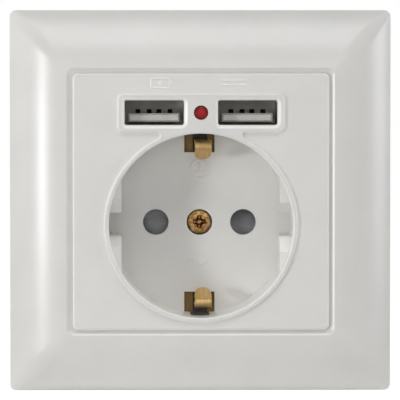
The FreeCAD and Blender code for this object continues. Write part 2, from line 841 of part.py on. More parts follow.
def make_rear_screws():
    head = (s.rear_screw_head, s.rear_screw_height)
    shank = (s.rear_screw_radius, s.rear_screw_length)
    screws = [
        screw("rear_screw_%d" % index, x, z, REAR - s.rear_wall, head, shank, facing=-1)
        for index, (x, z) in enumerate(REAR_SCREWS)
    ]
    return group("rear_cover_screws", screws)


def make_shutter():
    """Turning shutter: a hub on the cover's boss and two arms that close the pin holes."""
    body = new_body("shutter", -s.well_drop)
    front = FLOOR_BACK - s.loose
    back = front - s.shutter_wall
    pad(body, "hub", back, front, Ring(0, 0, s.shutter_hub))
    arm = s.shutter_arm
    end = (s.shutter_reach * s.shutter_reach - arm * arm).root()
    start = s.boss_radius + s.assembly
    right = [(start, -arm), (end, -arm, s.shutter_reach), (end, arm), (start, arm)]
    left = [(-start, arm), (-end, arm, s.shutter_reach), (-end, -arm), (-start, -arm)]
    pad(body, "arms", back, front, right, left)

    bore = Ring(0, 0, s.boss_radius + s.loose)
    pocket(body, "bore", front, back, bore)
    foot = s.ramp_depth - front
    above = -front - s.overrun
    beyond = arm + s.overrun
    crest = arm - s.shutter_ramp
    slope = [(-front, crest), (foot, arm), (foot, beyond), (above, beyond), (above, crest)]
    turned = [(depth, -height) for depth, height in slope]
    near_end = s.pin_pitch / 2 - s.pin_hole_radius - s.loose
    far_end = s.shutter_reach + s.overrun
    pocket(body, "right_ramp", far_end, near_end, slope, role="YZ_Plane")
    pocket(body, "left_ramp", -near_end, -far_end, turned, role="YZ_Plane")
    return body


def spiral(inside, pitch, quarters):
    """Corners of a spiral of quarter turns. Each quarter turns about the next corner of a
    small square, so it leaves where the last one ended and is a quarter pitch wider."""
    step = pitch / 4
    centres = [(0, 0), (0, -step), (step, -step), (step, 0)]
    outwards = [(1, 0), (0, 1), (-1, 0), (0, -1)]
    corners = []
    for quarter in range(quarters + 1):
        radius = inside + step * quarter
        centre = centres[quarter % 4]
        way = outwards[quarter % 4]
        corners.append((centre[0] + radius * way[0], centre[1] + radius * way[1], radius))
    return corners


def make_shutter_spring():
    """Return spring of steel strip, wound as a flat spiral behind the shutter."""
    body = new_body("shutter_spring", -s.well_drop)
    outer = spiral(s.spring_inside + s.spring_wall, s.spring_pitch, SPRING_QUARTERS)
    inner = spiral(s.spring_inside, s.spring_pitch, SPRING_QUARTERS)
    outline = outer[:-1] + [outer[-1][:2]]
    for corner, before in zip(inner[:0:-1], inner[-2::-1]):
        outline.append((corner[0], corner[1], -before[2]))
    outline.append(inner[0][:2])
    pad(body, "strip", SPRING_BACK + s.snug, SPRING_BACK + s.snug + s.spring_width, outline)
    return body


def make_earth_strap():
    """Bent brass strip: a bridge under the centre screw and a sprung tongue at each end."""
    body = new_body("earth_strap", -s.well_drop)
    wall = s.strap_wall
    seat_front = STRAP_FRONT
    seat_back = seat_front - wall
    root = EARTH_OUTER - wall
    deep = s.earth_crest - s.earth_tip_front
    inward = EARTH_OUTER - EARTH_TIP_UP
    slant = (deep * deep + inward * inward).root()
    tip_back = s.earth_tip_front - wall * inward / slant
    tip_out = EARTH_TIP_UP + wall * deep / slant
    fold = s.earth_crest - wall * inward / slant - wall * (slant + deep) * deep / (inward * slant)
    inside = STRAP_BEND - wall
    side = [
        (-BRIDGE_BACK, 0), (-BRIDGE_FRONT, 0), (-BRIDGE_FRONT, inside), (-seat_front, inside),
        (-seat_front, root), (-fold, root), (-tip_back, tip_out),
        (-s.earth_tip_front, EARTH_TIP_UP), (-s.earth_crest, EARTH_OUTER),
        (-seat_front, EARTH_OUTER), (-seat_front, STRAP_REACH), (-seat_back, STRAP_REACH),
        (-seat_back, STRAP_BEND), (-BRIDGE_BACK, STRAP_BEND),
    ]
    half = s.strap_width / 2
    strip = pad(body, "strip", -half, half, side, role="YZ_Plane")

    def crest(point):
        return near(point.z, EARTH_OUTER) and at_front(point, s.earth_crest)

    bend = finish_edges(body, "Fillet", "crest_bend", crest, Radius=s.earth_bend)
    slim = s.earth_width / 2
    over = half + s.overrun
    below = EARTH_TIP_UP - s.overrun
    above = EARTH_OUTER + s.overrun
    beyond = s.earth_crest + s.overrun
    sides = [box(slim, over, below, above), box(-over, -slim, below, above)]
    sides_cut = pocket(body, "tongue_sides", beyond, seat_front, *sides)
    point_half = s.earth_tip_width / 2
    base = EARTH_TIP_UP + s.earth_taper
    wide = slim + s.overrun
    tapers = [
        [(point_half, below), (wide, below), (wide, base), (slim, base)],
        [(-slim, base), (-wide, base), (-wide, below), (-point_half, below)],
    ]
    taper_cut = pocket(body, "tongue_taper", beyond, seat_front, *tapers)
    window = box(-slim, slim, EARTH_OUTER, STRAP_REACH + s.overrun)
    window_cut = pocket(body, "lance_window", seat_front, seat_back, window)
    mirror(body, "both_ends", [strip, bend, sides_cut, taper_cut, window_cut], "XY_Plane")
    pocket(body, "screw_hole", BRIDGE_FRONT, BRIDGE_BACK, Ring(0, 0, s.shank_radius + s.snug))
    lower = Ring(0, -s.earth_terminal_down, s.clamp_screw_radius + s.snug)
    pocket(body, "clamp_hole", BRIDGE_FRONT, BRIDGE_BACK, lower)
    return body


def make_contact(name, side):
    """Fork of sprung brass that grips one pin, on a strip down to its terminal."""
    body = new_body(name, -s.well_drop)
    x = side * s.pin_pitch / 2
    strip_front = REAR + s.fork_wall
    mouth = ROOF - s.assembly
    waist = mouth - s.fork_waist
    outer = s.fork_half
    inner = outer - s.fork_wall
    pinch = s.fork_pinch
    fork = [
        (x - outer, -REAR), (x - outer, -strip_front), (x - pinch - s.fork_wall, -waist),
        (x - outer, -mouth), (x - inner, -mouth), (x - pinch, -waist), (x - inner, -strip_front),
        (x + inner, -strip_front), (x + pinch, -waist), (x + inner, -mouth), (x + outer, -mouth),
        (x + pinch + s.fork_wall, -waist), (x + outer, -strip_front), (x + outer, -REAR),
    ]
    half = s.fork_height / 2
    pad(body, "fork", -half, half, fork, role="XY_Plane")
    low = -s.terminal_down - s.terminal_size / 2
    pad(body, "strip", REAR, strip_front, box(x - outer, x + outer, low, -half))
    return body


def make_terminal(name, x, down, back):
    """Clamping block: a wire hole across it and a screw thread from the front."""
    body = new_body(name, -s.well_drop)
    half = s.terminal_size / 2
    front = back + s.terminal_height
    middle = back + s.terminal_height / 2
    pad(body, "cage", back, front, box(x - half, x + half, -down - half, -down + half))
    wire = Ring(x, -middle, s.wire_hole_radius)
    pocket(body, "wire_hole", half - down, -down - half, wire, role="XY_Plane")
    pocket(body, "thread", front, middle, Ring(x, -down, s.clamp_screw_radius + s.snug))
    return body


def make_terminal_screws():
    seat = REAR + s.fork_wall + s.terminal_height
    places = [
        (-s.pin_pitch / 2, -s.well_drop - s.terminal_down, seat),
        (s.pin_pitch / 2, -s.well_drop - s.terminal_down, seat),
        (as_size(0), -s.well_drop - s.earth_terminal_down, BRIDGE_FRONT),
    ]
    head = (s.clamp_head_radius, s.clamp_head_height)
    shank = (s.clamp_screw_radius, s.clamp_screw_length)
    screws = [
        screw("terminal_screw_%d" % index, x, z, seat, head, shank)
        for index, (x, z, seat) in enumerate(places)
    ]
    return group("terminal_screws", screws)


def make_usb_shell(name, x):
    """Folded steel shell of one port, with the latch windows in its upper wall."""
    body = new_body(name, USB_Z)
    outer = box(x - SHELL_HALF, x + SHELL_HALF, -SHELL_RISE, SHELL_RISE, s.port_round + s.shell_wall)
    wide = s.port_width / 2
    tall = s.port_height / 2
    inner = box(x - wide, x + wide, -tall, tall, s.port_round)
    pad(body, "tube", BOARD_FRONT, SHELL_FRONT, outer, inner)
    front_end = s.latch_inset - SHELL_FRONT
    back_end = front_end + s.latch_length
    reach = s.latch_width / 2
    centres = (x - s.latch_pitch / 2, x + s.latch_pitch / 2)
    windows = [box(place - reach, place + reach, front_end, back_end) for place in centres]
    pocket(body, "latch_windows", SHELL_RISE, SHELL_RISE - 2 * s.shell_wall, *windows, role="XY_Plane")
    return body


def make_usb_tongue(name, x):
    """Insulator: a block that fills the shell's back and the tongue that stands on it."""
    body = new_body(name, USB_Z)
    wide = s.port_width / 2 - s.snug
    tall = s.port_height / 2 - s.snug
    shoulder = BOARD_FRONT + s.insulator_depth
    pad(body, "block", BOARD_FRONT, shoulder, box(x - wide, x + wide, -tall, tall, s.port_round))
    half = s.tongue_width / 2
    middle = -s.tongue_below
    tongue = box(x - half, x + half, middle - s.tongue_wall / 2, middle + s.tongue_wall / 2)
    front = SHELL_FRONT - s.tongue_back
    pad(body, "tongue", shoulder, front, tongue)

    def nose(point):
        return at_front(point, front)

    finish_edges(body, "Chamfer", "nose_chamfer", nose, Size=s.tongue_wall / 5)
    return body


def make_usb_contacts(name, x):
    """Four sprung strips on the upper face of the tongue."""
    top = USB_Z - s.tongue_below + s.tongue_wall / 2
    shoulder = BOARD_FRONT + s.insulator_depth
    front = SHELL_FRONT - s.tongue_back - s.tongue_wall / 2
    strips = []
    for index, place in enumerate(ROW_OF_FOUR):
        left = x + s.contact_pitch * place - s.contact_width / 2
        right = left + s.contact_width
        label = "%s_%d" % (name, index)
        strip = block(label + "_strip", left, right, shoulder, front, top, top + s.contact_wall)
        raised = top + s.contact_wall
        end = front - s.crown_inset
        crown = block(label + "_crown", left, right, end - s.crown_length, end, raised,
                      raised + s.contact_wall)
        strips.append(fused(label, [strip, crown]))
    return group(name, strips)


def make_lamp():
    """Light pipe of clear red plastic, from the board to just proud of the island."""
    body = new_body("indicator_lamp", USB_Z)
    front = RIM + s.lamp_proud
    pad(body, "pipe", BOARD_FRONT, front, Ring(0, 0, s.lamp_radius))

    def nose(point):
        return at_front(point, front)

    finish_edges(body, "Chamfer", "nose_bevel", nose, Size=s.lamp_bevel, Size2=s.lamp_proud)
    return body


def make_usb_board():
    """Narrow board that carries both ports and the lamp."""
    body = new_body("usb_board")
    wide = s.usb_pitch / 2 + SHELL_HALF
    board = box(-wide, wide, USB_Z - SHELL_RISE, USB_Z + SHELL_RISE)
    pad(body, "board", BOARD_BACK, BOARD_FRONT, board)
    return body


def make_charger_board():
    body = new_body("charger_board")
    wide = s.charger_half - s.assembly
    board = box(-wide, wide, s.charger_floor + s.assembly, CHARGER_TOP - s.assembly)
    pad(body, "board", REAR, REAR + s.board_wall, board)
    return body


def make_transformer():
    """Wound coil between the two halves of a ferrite core, on the charger board."""
    body = new_body("transformer")
    back = REAR + s.board_wall
    left = -s.charger_half + s.coil_inset
    right = left + s.coil_width
    bottom = s.charger_floor + s.coil_inset
    top = bottom + s.coil_height
    front = back + s.coil_rise
    core = s.coil_height / 4
    winding = box(left + s.winding_inset, right - s.winding_inset, bottom + core / 2, top - core / 2)
    pad(body, "winding", back, front - s.winding_drop, winding)
    cores = [box(left, right, bottom, bottom + core), box(left, right, top - core, top)]
    pad(body, "core_ends", back, front, *cores)
    return body


def make_capacitor():
    """Round electrolytic can standing on the charger board."""
    body = new_body("capacitor")
    back = REAR + s.board_wall
    front = -s.charger_roof - s.assembly
    can = Ring(s.charger_half / 2, s.charger_floor + CHARGER_TOP / 2, s.capacitor_radius)
    pad(body, "can", back, front, can)

    def rim(point):
        return at_front(point, front) or at_front(point, back)

    finish_edges(body, "Chamfer", "rolled_rims", rim, Size=s.capacitor_bevel)
    return body


def make_board_link():
    """Pin header that joins the port board to the charger board."""
    pitch = s.link_pitch
    half = s.link_pin / 2
    strip = block("link_strip", -2 * pitch, 2 * pitch, BOARD_BACK - s.link_block, BOARD_BACK,
                  USB_Z - pitch / 2, USB_Z + pitch / 2)
    pins = []
    for index, place in enumerate(ROW_OF_FOUR):
        x = pitch * place
        pins.append(block("link_pin_%d" % index, x - half, x + half, REAR + s.board_wall,
                          BOARD_BACK - s.link_block / 2, USB_Z - half, USB_Z + half))
    item = fused("board_link", [strip] + pins)
    item.Label = "board_link"
    return item


nodes = [
    make_cover_frame(),
    make_socket_cover(),
    make_cover_screw(),
    make_support_frame(),
    make_socket_base(),
    make_rear_cover(),
    make_rivets(),
    make_rear_screws(),
    make_shutter(),
    make_shutter_spring(),
    make_earth_strap(),
    make_contact("live_contact", -1),
    make_contact("neutral_contact", 1),
    make_terminal("live_terminal", -s.pin_pitch / 2, s.terminal_down, REAR + s.fork_wall),
    make_terminal("neutral_terminal", s.pin_pitch / 2, s.terminal_down, REAR + s.fork_wall),
    make_terminal("earth_terminal", as_size(0), s.earth_terminal_down, EARTH_CAGE_BACK),
    make_terminal_screws(),
    make_lamp(),
    make_usb_board(),
    make_charger_board(),
    make_transformer(),
    make_capacitor(),
    make_board_link(),
]
for side, word in ((-1, "left"), (1, "right")):
    centre = side * s.usb_pitch / 2
    nodes.append(make_usb_shell("usb_shell_" + word, centre))
    nodes.append(make_usb_tongue("usb_tongue_" + word, centre))
    nodes.append(make_usb_contacts("usb_contacts_" + word, centre))

doc.recompute()
for item in doc.Objects:
    if "Invalid" in item.State or "Error" in item.State:
        raise ValueError("%s failed: %s" % (item.Label, item.State))
for node in nodes:
    if node.Shape.isNull() or not node.Shape.isValid():
        raise ValueError("%s has no valid shape" % node.Label)
for node in nodes:
    node.Shape.exportStep("parts/%s.step" % node.Label)
    print("%-20s %2d solids %10.1f mm3" % (node.Label, len(node.Shape.Solids), node.Shape.Volume))
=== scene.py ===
# %% [markdown]
# # A wall socket with two charging ports
# This lesson dresses a finished CAD model of a flush wall socket in Blender. The solids are
# already the right size, so nothing is moved: we look at what the camera sees, give every
# solid the finish of the real one, and build again, as smooth surfaces, the few pieces whose
# light depends on soft edges: the pillow-shaped cover frame, the screw, the earth strip, the
# contacts in the ports and the lamp.

import bpy
import numpy as np
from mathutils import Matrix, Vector


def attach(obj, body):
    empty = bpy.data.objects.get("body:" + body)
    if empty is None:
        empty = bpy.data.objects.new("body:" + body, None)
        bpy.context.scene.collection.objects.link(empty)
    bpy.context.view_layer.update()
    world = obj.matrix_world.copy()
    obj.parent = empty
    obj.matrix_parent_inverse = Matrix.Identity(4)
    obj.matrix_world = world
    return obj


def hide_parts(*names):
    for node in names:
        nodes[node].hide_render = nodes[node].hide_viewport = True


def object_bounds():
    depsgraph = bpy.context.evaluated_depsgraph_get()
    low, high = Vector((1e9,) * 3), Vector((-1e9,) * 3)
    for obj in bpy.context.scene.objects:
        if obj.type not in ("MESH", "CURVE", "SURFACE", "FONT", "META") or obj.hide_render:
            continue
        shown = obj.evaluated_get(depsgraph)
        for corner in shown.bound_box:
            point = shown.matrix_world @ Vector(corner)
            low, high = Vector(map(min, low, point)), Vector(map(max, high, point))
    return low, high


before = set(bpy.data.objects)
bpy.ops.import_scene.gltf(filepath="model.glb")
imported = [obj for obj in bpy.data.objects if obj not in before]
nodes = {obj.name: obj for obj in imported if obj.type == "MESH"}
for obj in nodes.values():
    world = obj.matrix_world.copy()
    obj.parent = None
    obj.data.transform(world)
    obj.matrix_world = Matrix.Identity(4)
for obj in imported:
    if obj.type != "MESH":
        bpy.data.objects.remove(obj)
cad_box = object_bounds()
print(len(nodes), "solids, box in metres:", cad_box)

# %% [markdown]
# Every length below is written in millimetres, as a maker would say it, and turned into
# Blender's metres once. A place on the socket is given as x to the right, front towards the
# room, and z up. Blender's own Y runs the other way, into the wall, so front changes sign.

# %% Millimetres and places
MM = 0.001


def place(x, front, z):
    """Points in metres from x, front and z in millimetres: Y is minus the front distance."""
    x, front, z = np.broadcast_arrays(x, front, z)
    return np.stack([x, -front, z], axis=-1) * MM


well_z = -5.1
usb_z = 19.1
rim_front = 10.4
print("middle of the plug well at its rim:", place(0.0, rim_front, well_z))

# %% [markdown]
# A new piece is a grid of points, worked out as one numpy array. Each row of the grid is a
# closed ring, and the rings follow each other along the piece. The two helpers below turn
# such a grid into a mesh: one closes its first and last ring with a fan of triangles, the
# other joins the last ring to the first, as on a picture frame. The signed volume tells
# whether the faces point outwards; if not, they are turned round.

# %% From rings to a closed mesh
def ring_faces(rows, columns, join_ends):
    """Quads between ring i and i+1, and between column j and j+1, both counted round."""
    steps = rows if join_ends else rows - 1
    i, j = np.meshgrid(np.arange(steps), np.arange(columns), indexing="ij")
    below, above = i * columns, (i + 1) % rows * columns
    turn = (j + 1) % columns
    return np.stack([below + j, below + turn, above + turn, above + j], axis=-1).reshape(-1, 4)


def fan_faces(ring_start, columns, centre):
    """Triangles from one ring to its middle point."""
    j = np.arange(columns)
    middle = np.full(columns, centre)
    return np.stack([ring_start + j, middle, ring_start + (j + 1) % columns], axis=-1)


def signed_volume(points, triangles):
    """A sixth of the sum of a . (b x c) over the triangles: positive if they face outwards."""
    a, b, c = (points[triangles[:, k]] for k in range(3))
    return (a * np.cross(b, c)).sum() / 6


def closed_piece(grid, join_ends=False):
    """Points, quads and triangles of a grid of rings, closed and facing outwards."""
    rows, columns = grid.shape[:2]
    points = grid.reshape(-1, 3)
    quads = ring_faces(rows, columns, join_ends)
    fans = np.zeros((0, 3), int)
    if not join_ends:
        middles = grid[[0, -1]].mean(axis=1)
        last = (rows - 1) * columns
        fans = np.concatenate([
            fan_faces(0, columns, len(points)),
            fan_faces(last, columns, len(points) + 1)[:, ::-1],
        ])
        points = np.concatenate([points, middles])
    triangles = np.concatenate([quads[:, [0, 1, 2]], quads[:, [0, 2, 3]], fans])
    if signed_volume(points - points.mean(axis=0), triangles) < 0:
        quads, fans = quads[:, ::-1], fans[:, ::-1]
    return points, quads, fans


def make_piece(name, parts, finish, body="socket", crease=35):
    """One object from several closed grids: smooth, except where faces meet at more than
    crease degrees."""
    points = np.concatenate([part[0] for part in parts])
    starts = np.cumsum([0] + [len(part[0]) for part in parts[:-1]])
    quads = np.concatenate([part[1] + start for part, start in zip(parts, starts)])
    fans = np.concatenate([part[2] + start for part, start in zip(parts, starts)])
    mesh = bpy.data.meshes.new(name)
    mesh.vertices.add(len(points))
    mesh.vertices.foreach_set("co", points.astype(np.float32).ravel())
    corners = np.concatenate([quads.ravel(), fans.ravel()])
    mesh.loops.add(len(corners))
    mesh.loops.foreach_set("vertex_index", corners.astype(np.int32))
    sides = np.concatenate([np.full(len(quads), 4), np.full(len(fans), 3)])
    mesh.polygons.add(len(sides))
    mesh.polygons.foreach_set("loop_start", (np.cumsum(sides) - sides).astype(np.int32))
    mesh.update(calc_edges=True)
    mesh.validate()
    mesh.shade_smooth()
    mesh.set_sharp_from_angle(angle=np.radians(crease))
    piece = bpy.data.objects.new(name, mesh)
    bpy.context.scene.collection.objects.link(piece)
    mesh.materials.append(finish)
    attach(piece, body)
    low, high = points.min(axis=0) / MM, points.max(axis=0) / MM
    print(name, len(points), "points, from", low.round(2), "to", high.round(2), "mm")
    return piece


# %% [markdown]
# Colours are read off the photograph as the usual hexadecimal numbers. Those are display
# values, so they are turned into the linear light that the shaders work with.

# %% Colours
def shade(code):
    """Linear red, green and blue of a display colour such as D9D8D3, by the sRGB curve."""
    display = np.array([int(code[k:k + 2], 16) for k in (0, 2, 4)]) / 255
    linear = np.where(display <= 0.04045, display / 12.92, ((display + 0.055) / 1.055) ** 2.4)
    return (*linear, 1.0)


print("cover white in linear light:", np.round(shade("E8E7E4"), 3))

# %% [markdown]
# A finish is never one flat colour. Each material starts from the same three steps: object
# coordinates in millimetres, a cloud of noise that drifts between two close shades, and a
# finer noise that lifts the surface a few hundredths of a millimetre.

# %% Steps that every finish shares
def new_finish(name, roughness, metal=0.0, **settings):
    """A material with its shader set and its object coordinates scaled to millimetres."""
    finish = bpy.data.materials.new(name)
    finish.use_nodes = True
    tree = finish.node_tree
    shader = tree.nodes["Principled BSDF"]
    shader.inputs["Roughness"].default_value = roughness
    shader.inputs["Metallic"].default_value = metal
    for socket, value in settings.items():
        shader.inputs[socket.replace("_", " ")].default_value = value
    where = tree.nodes.new("ShaderNodeTexCoord")
    scale = tree.nodes.new("ShaderNodeMapping")
    scale.inputs["Scale"].default_value = (1 / MM, 1 / MM, 1 / MM)
    tree.links.new(where.outputs["Object"], scale.inputs["Vector"])
    return finish, tree, shader, scale.outputs["Vector"]


def noise(tree, where, size, detail=3.0, stretch=(1, 1, 1)):
    """Noise whose blobs are about size millimetres wide, longer where stretch is small."""
    turn = tree.nodes.new("ShaderNodeMapping")
    turn.inputs["Scale"].default_value = [k / size for k in stretch]
    tree.links.new(where, turn.inputs["Vector"])
    cloud = tree.nodes.new("ShaderNodeTexNoise")
    cloud.inputs["Scale"].default_value = 1.0
    cloud.inputs["Detail"].default_value = detail
    tree.links.new(turn.outputs["Vector"], cloud.inputs["Vector"])
    return cloud.outputs["Fac"]


def colour_between(tree, amount, low, high, shader, start=0.3, stop=0.7):
    """Base colour that drifts from low to high as amount goes from start to stop."""
    ramp = tree.nodes.new("ShaderNodeValToRGB")
    ramp.color_ramp.elements[0].position = start
    ramp.color_ramp.elements[0].color = shade(low)
    ramp.color_ramp.elements[1].position = stop
    ramp.color_ramp.elements[1].color = shade(high)
    tree.links.new(amount, ramp.inputs["Fac"])
    tree.links.new(ramp.outputs["Color"], shader.inputs["Base Color"])
    return ramp


def lift(tree, height, depth, shader):
    """Bump of the given depth in millimetres."""
    bump = tree.nodes.new("ShaderNodeBump")
    bump.inputs["Distance"].default_value = depth * MM
    bump.inputs["Strength"].default_value = 1.0
    tree.links.new(height, bump.inputs["Height"])
    tree.links.new(bump.outputs["Normal"], shader.inputs["Normal"])


def drift_roughness(tree, amount, low, high, shader):
    """Roughness that drifts from low to high with the amount."""
    spread = tree.nodes.new("ShaderNodeMapRange")
    spread.inputs["To Min"].default_value = low
    spread.inputs["To Max"].default_value = high
    tree.links.new(amount, spread.inputs["Value"])
    tree.links.new(spread.outputs["Result"], shader.inputs["Roughness"])


# %% [markdown]
# Some light and shade is painted into the colours: painted shade under the slots of the well, and
# painted light and highlights elsewhere. A finish can tell how far a point lies from a place
# inside the socket, and its colour is scaled within reach of that place, or by the distance to the
# front.

# %% Painted light and shade
def painted_light_and_shade(tree, share, ramp, shader):
    """Base colour: the ramp's colour times the share, painted shade below 1 and painted light
    above 1.
    """
    dimmed = tree.nodes.new("ShaderNodeHueSaturation")
    tree.links.new(share, dimmed.inputs["Value"])
    tree.links.new(ramp.outputs["Color"], dimmed.inputs["Color"])
    tree.links.new(dimmed.outputs["Color"], shader.inputs["Base Color"])


def paint_light_and_shade_by_front(tree, where, ramp, shader, stops):
    """The ramp's colour times a share that runs through the stops of (front, share): painted light
    and shade by the distance to the front.
    """
    parts = tree.nodes.new("ShaderNodeSeparateXYZ")
    tree.links.new(where, parts.inputs["Vector"])
    level = tree.nodes.new("ShaderNodeMapRange")
    back, fore = stops[0][0], stops[-1][0]
    level.inputs["From Min"].default_value = -back
    level.inputs["From Max"].default_value = -fore
    tree.links.new(parts.outputs["Y"], level.inputs["Value"])
    shares = tree.nodes.new("ShaderNodeValToRGB")
    for k, (front, share) in enumerate(stops):
        at = (front - back) / (fore - back)
        stop = shares.color_ramp.elements[k] if k < 2 else shares.color_ramp.elements.new(at)
        stop.position = at
        stop.color = (share, share, share, 1.0)
    tree.links.new(level.outputs["Result"], shares.inputs["Fac"])
    painted_light_and_shade(tree, shares.outputs["Color"], ramp, shader)


def paint_light_and_shade_around(tree, where, ramp, shader, middle, near, far, inside, outside):
    """The ramp's colour times a share, painted light and shade: inside up to the near distance
    from the middle, outside from the far distance on."""
    away = tree.nodes.new("ShaderNodeVectorMath")
    away.operation = "DISTANCE"
    away.inputs[1].default_value = middle
    tree.links.new(where, away.inputs[0])
    level = tree.nodes.new("ShaderNodeMapRange")
    level.inputs["From Min"].default_value = near
    level.inputs["From Max"].default_value = far
    level.inputs["To Min"].default_value = inside
    level.inputs["To Max"].default_value = outside
    tree.links.new(away.outputs["Value"], level.inputs["Value"])
    painted_light_and_shade(tree, level.outputs["Result"], ramp, shader)


# %% [markdown]
# The cover is a pearly white satin moulding. Its white is a little warm and a little grey, and it
# shines softly, so a softbox shows in it as a wide pale band and never as a sharp spot. Fine
# orange peel from the mould breaks the shine up at close range. The bevels of the plate, the
# island and the rim get painted highlights, thin paler bands of white, and in the well the white
# is painted a little paler, as painted light in its shade. Both are found by their distance to the
# front. The raised signs get a painted highlight too.

# %% Pearly white of the covers
pearl_white, tree, shader, where = new_finish("pearl_white", 0.28)
colour_between(tree, noise(tree, where, 9.0), "E8E7E4", "ECEBE8", shader)
lift(tree, noise(tree, where, 0.35, 2.0), 0.004, shader)

cover_white_painted_light, tree, shader, where = new_finish("cover_white_painted_light", 0.28)
ramp = colour_between(tree, noise(tree, where, 9.0), "E8E7E4", "ECEBE8", shader)
# Painted highlights: 1.17 on the plate's bevel and on the bevels of the island and rim; painted
# light: 1.07 from the well's floor up to the plate.
paint_light_and_shade_by_front(tree, where, ramp, shader, [
    (-7.3, 1.0), (-6.9, 1.07), (8.6, 1.07), (9.15, 1.17), (9.52, 1.17), (9.59, 1.0),
    (9.9, 1.0), (10.05, 1.17), (10.33, 1.17), (10.39, 1.0),
])
lift(tree, noise(tree, where, 0.35, 2.0), 0.004, shader)

# The signs are a paler white than the cover: a painted highlight on their ridges.
sign_white_painted_highlight, tree, shader, where = new_finish("sign_white_painted_highlight", 0.2)
colour_between(tree, noise(tree, where, 2.0), "F6F5F3", "FAF9F7", shader)
lift(tree, noise(tree, where, 0.3, 2.0), 0.004, shader)

# %% [markdown]
# The base behind the wall plane is a light grey, matt moulding with a grain like fine paper, with
# painted shade where it lies under the well. The shutter and the header are dark grey, the
# insulators in the ports pale grey. The shutter is painted paler where it slopes under the left
# hole, as painted light on the shaded lower part of the hole.

# %% Matt mouldings
base_grey_painted_shade, tree, shader, where = new_finish("base_grey_painted_shade", 0.6)
ramp = colour_between(tree, noise(tree, where, 4.0, 5.0), "C9C8C4", "D6D5D1", shader)
# Painted shade: the base darkens to 0.22 within 19.8 mm of a point on the well's axis behind the
# plate, where the slots show it.
paint_light_and_shade_around(tree, where, ramp, shader, (0.0, 8.0, well_z), 19.8, 21.8, 0.22, 1.0)
lift(tree, noise(tree, where, 0.22, 4.0), 0.03, shader)

shutter_dark_painted_light, tree, shader, where = new_finish("shutter_dark_painted_light", 0.5)
ramp = colour_between(tree, noise(tree, where, 3.0, 4.0), "77787B", "848588", shader)
# Painted light: the shutter is three times paler near the lower part of the left pin hole.
paint_light_and_shade_around(tree, where, ramp, shader, (-9.5, 10.0, well_z - 3.0), 0.3, 4.2, 3.0, 1.0)
lift(tree, noise(tree, where, 0.2, 3.0), 0.02, shader)

insulator_grey, tree, shader, where = new_finish("insulator_grey", 0.45)
colour_between(tree, noise(tree, where, 3.0, 4.0), "DAD9D4", "E6E5E0", shader)
lift(tree, noise(tree, where, 0.2, 3.0), 0.01, shader)

# %% [markdown]
# Brass strip comes off the roll with fine lines along its length, and punching and bending add
# darker drifts. The lines run up and down the tongues, so the noise is stretched in Z and in Y and
# stays narrow across the strip. Down in the slots the brass is darkened as painted shade, and a
# little on top of the crests, where painted shade tones down their highlight, so its colour
# depends on the distance to the front too.

# %% Brass, zinc and nickel
brass, tree, shader, where = new_finish("brass", 0.5, metal=1.0)
streaks = noise(tree, where, 0.35, 4.0, (1, 0.08, 0.08))
ramp = colour_between(tree, streaks, "CAA66B", "E0C390", shader)
# Painted shade: darkened to 0.32 deep in the slots, and to 0.58 on the crests of the tongues.
paint_light_and_shade_by_front(tree, where, ramp, shader, [
    (-9.2, 0.32), (-5.0, 1.0), (2.5, 1.0), (2.95, 0.68), (3.4, 0.58),
])
drift_roughness(tree, noise(tree, where, 1.5, 3.0), 0.48, 0.6, shader)
lift(tree, streaks, 0.004, shader)

# The contacts are a dark brownish metal: painted shade, for plated springs that lie in shade at
# the back of the ports.
contact_plate_painted_shade, tree, shader, where = new_finish("contact_plate_painted_shade", 0.4, metal=1.0)
colour_between(tree, noise(tree, where, 0.4, 3.0), "3B372F", "57524A", shader)
lift(tree, noise(tree, where, 0.12, 3.0), 0.004, shader)

zinc, tree, shader, where = new_finish("zinc", 0.38, metal=1.0)
colour_between(tree, noise(tree, where, 2.5, 5.0), "A9ACB0", "C2C5C9", shader)
drift_roughness(tree, noise(tree, where, 1.2, 4.0), 0.28, 0.48, shader)
lift(tree, noise(tree, where, 0.3, 4.0, (1, 1, 0.1)), 0.006, shader)

# The nickel is darker and browner than real plating: painted shade for the shells seen inside the
# ports.
nickel, tree, shader, where = new_finish("nickel", 0.35, metal=1.0)
colour_between(tree, noise(tree, where, 1.0, 4.0, (1, 0.15, 1)), "7E796D", "A59F92", shader)
lift(tree, noise(tree, where, 0.15, 3.0, (1, 0.1, 1)), 0.004, shader)

# %% [markdown]
# The screw is steel with a yellow passivated zinc skin. That skin is a thin film, so it
# shifts between gold, olive and a faint pink from place to place: a ramp with six stops,
# driven by noise about a millimetre wide.

# %% Yellow passivated zinc
gold_zinc, tree, shader, where = new_finish("gold_zinc", 0.3, metal=1.0)
patches = noise(tree, where, 0.9, 3.0)
ramp = colour_between(tree, patches, "3E2D14", "6E5530", shader, 0.3, 0.5)
for stop, code in ((0.42, "7A5A2A"), (0.56, "94705F"), (0.62, "A08449"), (0.7, "64562B")):
    ramp.color_ramp.elements.new(stop).color = shade(code)
drift_roughness(tree, noise(tree, where, 0.6, 3.0), 0.2, 0.4, shader)
lift(tree, patches, 0.01, shader)

# %% [markdown]
# The lamp is the rounded end of a clear red light pipe. Unlit, it looks like dark red glass: a
# saturated colour under a glossy skin. Its brightness where one looks down the rod is painted: the
# red darkens towards the edge of the dome as painted shade.

# %% Red light pipe
red_clear_painted_shade, tree, shader, where = new_finish("red_clear_painted_shade", 0.16, Specular_IOR_Level=0.2)
ramp = colour_between(tree, noise(tree, where, 0.8), "9C120E", "BA1D16", shader)
# Painted shade: the red falls to 0.45 of its colour between 0.3 and 1.6 mm from the middle of the
# dome.
paint_light_and_shade_around(tree, where, ramp, shader, (0.2, -10.5, usb_z - 0.1), 0.3, 1.6, 1.0, 0.45)
lift(tree, noise(tree, where, 0.25), 0.01, shader)

